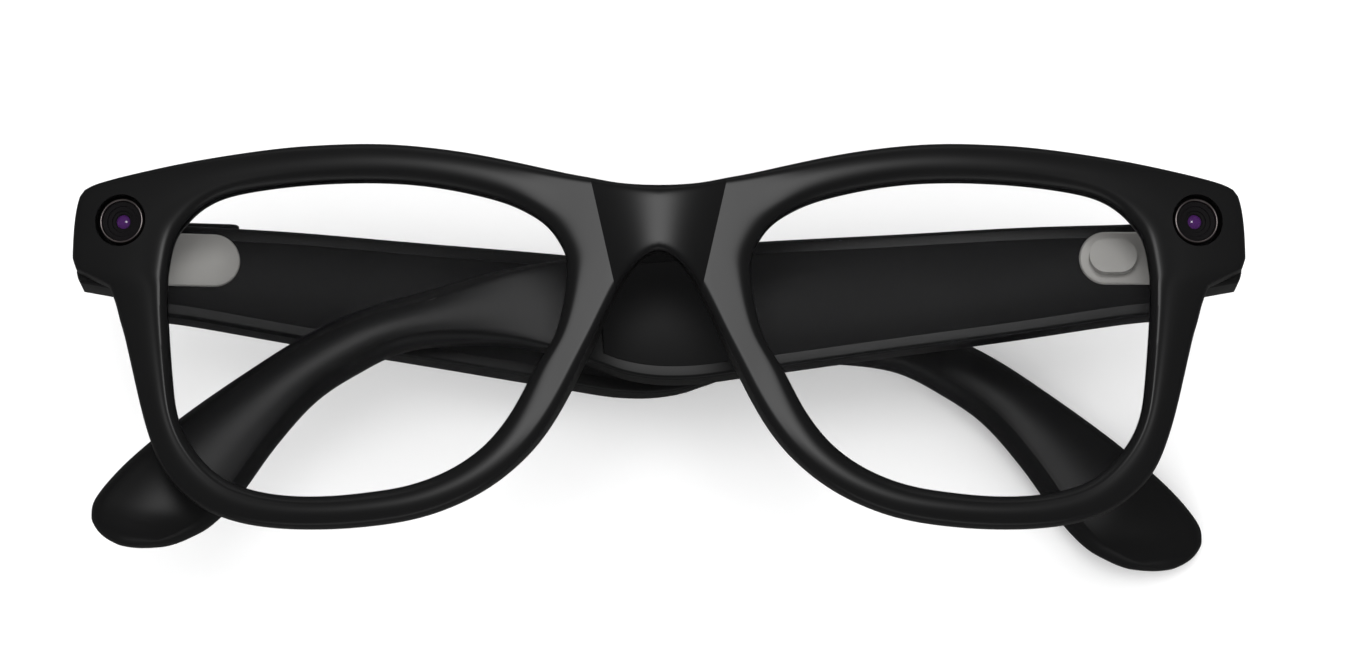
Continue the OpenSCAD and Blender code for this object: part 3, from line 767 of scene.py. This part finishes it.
def row_at(length):
    """The temple's edges at a length from the hinge axis."""
    rows = temple_rows(2)[:-1]
    for a, b in zip(rows, rows[1:]):
        if b[0] >= length:
            t = (length - a[0]) / (b[0] - a[0])
            return [p + (q - p) * t for p, q in zip(a, b)]
    return rows[-1]


def bow(length):
    """How far the temple has bent towards the head at a length."""
    return TIP_BOW * (max(length - CAVITY[1], 0) / (TIP_AT - CAVITY[1])) ** 1.5


def bar_section(row, deep, from_in, shrink=1.0):
    """A rounded bar's section: a channel of the given depth in its inner face, or a crown."""
    top, low, share = Vector((row[0], row[1])), Vector((row[2], row[3])), row[4]
    centre = (top + low) / 2
    top, low = centre + (top - centre) * shrink, centre + (low - centre) * shrink
    n = (top - low).normalized()
    tall = (top - low).length
    thick = TEMPLE_T * share
    z_in = FACE_OUT - (TEMPLE_T - thick) * 0.4 + bow(row[0]) - from_in
    z_out = FACE_OUT - TEMPLE_T + (TEMPLE_T - thick) * 0.6 + bow(row[0])
    past = ease(row[0], CAVITY[1], CAVITY[1] + CROWN_GROWS)
    most_r = min((z_in - z_out) * 0.45, tall * 0.42)
    outer_r = min(TEMPLE_R + 0.8 * past, most_r)
    inner_r = min(INNER_R + 1.5 * past, most_r)
    crown = CROWN * past * min(1, share / 0.6)
    wide = min(WALL + (0.12 if deep else 0), tall * 0.45)

    def inner(up):
        return z_in + crown * (1 - (2 * up / tall - 1) ** 2)

    def at(up, z):
        p = low + n * up
        return (p.x, p.y, z)

    loop = [at(wide, inner(wide) - deep), at(wide, inner(wide))]
    steps = [math.radians(90 * k / 6) for k in range(7)]
    for a in reversed(steps):
        up = inner_r * (1 - math.cos(a))
        loop.append(at(up, inner(up) - inner_r * (1 - math.sin(a))))
    for a in steps:
        loop.append(at(outer_r * (1 - math.cos(a)), z_out + outer_r * (1 - math.sin(a))))
    for a in reversed(steps):
        loop.append(at(tall - outer_r * (1 - math.cos(a)), z_out + outer_r * (1 - math.sin(a))))
    for a in steps:
        up = tall - inner_r * (1 - math.cos(a))
        loop.append(at(up, inner(up) - inner_r * (1 - math.sin(a))))
    loop += [at(tall - wide, inner(tall - wide)), at(tall - wide, inner(tall - wide) - deep)]
    for k in (1, 2, 3, 4, 5):
        up = tall - wide - (tall - 2 * wide) * k / 6
        loop.append(at(up, inner(up) - deep))
    return loop


def temple_loops():
    """Sections along a temple. Its root is thinner, and leaves the inner face free for the hinge."""
    root_in = FACE_OUT + KNUCKLE_R + KNUCKLE_GAP
    root_end = KNUCKLE_R + KNUCKLE_GAP
    first = row_at(TEMPLE[0][0] + 0.01)
    nudge = 0.02

    def root_row(length):
        return [length, first[1], length, first[3], 1]

    # The root's end is rounded by a smaller section before the full one
    loops = [bar_section(root_row(0.35), 0, root_in, 0.96), bar_section(root_row(0.65), 0, root_in),
             bar_section(root_row(root_end), 0, root_in), bar_section(root_row(root_end + nudge), 0, 0),
             bar_section(row_at(CAVITY[0]), 0, 0), bar_section(row_at(CAVITY[0] + nudge), CHANNEL_D, 0)]
    fine = temple_rows(6)
    loops += [bar_section(r, CHANNEL_D, 0) for r in fine if CAVITY[0] + 0.5 < r[0] < CAVITY[1] - 0.5]
    loops += [bar_section(row_at(CAVITY[1]), CHANNEL_D, 0),
              bar_section(row_at(CAVITY[1] + nudge), 0, 0)]
    loops += [bar_section(r, 0, 0) for r in fine if r[0] > CAVITY[1] + 0.5]
    return loops


def temple(side, name, body, node, button):
    """A temple's moulding from hinge to tip, with a slot in its upper edge if it has the button."""
    bm = bmesh.new()
    loft(bm, temple_loops())
    moved(bm, temple_matrix(side))
    piece = finish_mesh(name, bm, body, TEMPLE_BLACK, [node], sharp=35)
    if button:
        slot_h, slot_up = 8, 2.6
        slot = block((BUTTON_L + 2 * FIT_GAP, slot_h, BUTTON_W + 2 * FIT_GAP),
                     (BUTTON_AT, row_at(BUTTON_AT)[1] + slot_up, FACE_OUT - TEMPLE_T / 2))
        applied(piece, [moved(slot, temple_matrix(side))])
        mark_sharp(piece, 35)


def temple_cover(side, name, body, node):
    """The lid of a temple's channel."""
    inset = WALL + FIT_GAP
    rows = [row_at(CAVITY[0] + FIT_GAP)]
    rows += [r for r in temple_rows(6) if CAVITY[0] + 1 < r[0] < CAVITY[1] - 1]
    rows.append(row_at(CAVITY[1] - FIT_GAP))
    outline = [(r[0], r[1] - inset) for r in rows] + [(r[2], r[3] + inset) for r in reversed(rows)]
    bm = plate_mesh(outline, FACE_OUT - 0.5, FACE_OUT, 0.12, 2)
    finish_mesh(name, moved(bm, temple_matrix(side)), body, COVER, [node], sharp=30)


def hinge_plate(side, name, body, node, slotted):
    """A temple's metal plate with its round end, and the hinge knuckle and tongue before it."""
    radius = PLATE_H / 2
    start = KNUCKLE_R + 0.2
    centre = PLATE_L - radius
    outline = [(start, HINGE_Y + radius), (start, HINGE_Y - radius)]
    outline += [(centre + radius * math.cos(a), HINGE_Y + radius * math.sin(a))
                for a in (math.radians(-90 + 180 * k / 32) for k in range(33))]
    matrix = temple_matrix(side)
    bm = moved(plate_mesh(outline, FACE_OUT + 0.01, FACE_OUT + PLATE_T, 0.26), matrix)
    piece = finish_mesh(name, bm, body, NICKEL, [node], sharp=30)
    if slotted:
        track = plate_mesh(stadium(SLOT_FROM, SLOT_FROM + SLIDER_TRAVEL, HINGE_Y, KNOB_R + TRACK_GAP),
                           FACE_OUT + PLATE_T - TRACK_D, 3)
        applied(piece, [moved(track, matrix)])
        mark_sharp(piece, 30)
    knuckle = barrel(KNUCKLE_R, HINGE_H / 3, 48)
    round_rims(knuckle, 0.12, 2)
    bmesh.ops.rotate(knuckle, verts=knuckle.verts, matrix=Matrix.Rotation(math.pi / 2, 3, "X"))
    bmesh.ops.translate(knuckle, verts=knuckle.verts, vec=(0, HINGE_Y, 0))
    tongue_l = 2.7
    tongue = block((tongue_l, HINGE_H / 3, 0.95), (tongue_l / 2, HINGE_Y, FACE_OUT + PLATE_T - 0.5))
    for end, bm in (("_knuckle", knuckle), ("_tongue", tongue)):
        finish_mesh(name + end, moved(bm, matrix), body, NICKEL, sharp=30)


for side, hand, body in ((-1, "right", "right_temple"), (1, "left", "left_temple")):
    temple(side, hand + "_temple_shell", body, hand + "_housing", side < 0)
    temple_cover(side, hand + "_inner_cover", body, hand + "_cover")
    hinge_plate(side, hand + "_hinge_plate", body, hand + "_plate", side > 0)


def capture_button():
    """The long key in the right temple's upper edge."""
    outline = stadium(-BUTTON_L / 2 + BUTTON_W / 2, BUTTON_L / 2 - BUTTON_W / 2, 0, BUTTON_W / 2, 12)
    bm = plate_mesh(outline, -BUTTON_D, 0, 0.3)
    bmesh.ops.rotate(bm, verts=bm.verts, matrix=Matrix.Rotation(-math.pi / 2, 3, "X"))
    bmesh.ops.translate(bm, verts=bm.verts,
                        vec=(BUTTON_AT, row_at(BUTTON_AT)[1] + BUTTON_UP, FACE_OUT - TEMPLE_T / 2))
    finish_mesh("capture_key_cap", moved(bm, temple_matrix(-1)), "capture_key", BLACK,
                ["capture_button"], sharp=30)


def power_knob():
    """The round knob that slides in the left plate's track."""
    top = FACE_OUT + PLATE_T + KNOB_UP
    bm = turned([(0.001, top - 0.08), (KNOB_R * 0.6, top - 0.07), (KNOB_R - 0.45, top), (KNOB_R - 0.2, top),
                 (KNOB_R - 0.06, top - 0.06), (KNOB_R, top - 0.2), (KNOB_R, FACE_OUT - COVER_T),
                 (0.001, FACE_OUT - COVER_T)], 64)
    bmesh.ops.translate(bm, verts=bm.verts, vec=(SLOT_FROM, HINGE_Y, 0))
    finish_mesh("power_knob_cap", moved(bm, temple_matrix(1)), "power_knob", NICKEL,
                ["power_slider"], sharp=30)


capture_button()
power_knob()


# ---------------------------------------------------------------- stage, lights and camera
# The room's strength, and how bright the room and the floor are to a reflection. The view's
# height is in degrees, its distance and the gap over the floor in metres, the rest in millimetres.
ROOM_LIGHT = 1.35
ROOM_MIRRORED = 0.06
FLOOR_MIRRORED = 0.06
CAMERA_ELEVATION = 80.5
CAMERA_AWAY = 0.9
SENSOR_W = 36
FRAME_WIDTH = 168.7
FLOOR_GAP = 0.0001
AIM = (2.7, -0.26, 0)


def stage():
    """A pale floor just under the glasses, which reflections see as dark."""
    bm = bmesh.new()
    bmesh.ops.create_grid(bm, x_segments=2, y_segments=2, size=3)
    floor = as_object("floor", bm)
    floor.location.z = -FLOOR_GAP
    material, tree, shader = new_material("pale floor")
    link = tree.links.new
    grain = noise(tree, 40)
    rays = tree.nodes.new("ShaderNodeLightPath")
    seen = tree.nodes.new("ShaderNodeMix")
    seen.data_type = "RGBA"
    link(rays.outputs["Is Glossy Ray"], seen.inputs["Factor"])
    link(spread(tree, grain.outputs["Fac"], 0.955, 0.965), seen.inputs["A"])
    seen.inputs["B"].default_value = (FLOOR_MIRRORED, FLOOR_MIRRORED, FLOOR_MIRRORED, 1)
    link(seen.outputs["Result"], shader.inputs["Base Color"])
    shader.inputs["Roughness"].default_value = 0.5
    shader.inputs["Specular IOR Level"].default_value = 0.1
    floor.data.materials.append(material)


def softbox(name, location, target, size, watts):
    """A rectangular lamp turned to a target."""
    lamp = bpy.data.lights.new(name, "AREA")
    lamp.shape = "RECTANGLE"
    lamp.size, lamp.size_y = size
    lamp.energy = watts
    box = bpy.data.objects.new(name, lamp)
    bpy.context.scene.collection.objects.link(box)
    box.location = location
    box.rotation_euler = (Vector(target) - Vector(location)).to_track_quat("-Z", "Y").to_euler()


def lights():
    """A white room that reflections see as dark, and three soft lamps they see as they are."""
    world = bpy.data.worlds.new("studio")
    bpy.context.scene.world = world
    world.use_nodes = True
    tree = world.node_tree
    room = tree.nodes["Background"]
    room.inputs["Color"].default_value = (1, 1, 1, 1)
    rays = tree.nodes.new("ShaderNodeLightPath")
    strength = spread(tree, rays.outputs["Is Glossy Ray"], ROOM_LIGHT, ROOM_MIRRORED)
    tree.links.new(strength, room.inputs["Strength"])
    middle = (0, 0, 0.03)
    softbox("overhead", (0, 0.17, 0.98), middle, (0.32, 0.3), 1.75)
    softbox("brow side", (0, 0.9, 0.3), middle, (0.9, 0.2), 0.3)
    softbox("chin side", (0, -0.9, 0.2), middle, (0.9, 0.2), 0.45)


def camera():
    """The view from above the chin side, which takes in the whole front."""
    data = bpy.data.cameras.new("camera")
    view = bpy.data.objects.new("camera", data)
    bpy.context.scene.collection.objects.link(view)
    bpy.context.scene.camera = view
    elevation = math.radians(CAMERA_ELEVATION)
    aim = place(*AIM)
    view.location = aim + Vector((0, -math.cos(elevation), math.sin(elevation))) * CAMERA_AWAY
    view.rotation_euler = (aim - view.location).to_track_quat("-Z", "Y").to_euler()
    data.sensor_width = SENSOR_W
    data.lens = SENSOR_W * CAMERA_AWAY / (FRAME_WIDTH * MM)
    data.clip_start, data.clip_end = 0.01, 20


stage()
lights()
camera()
bpy.context.scene.view_settings.view_transform = "Standard"
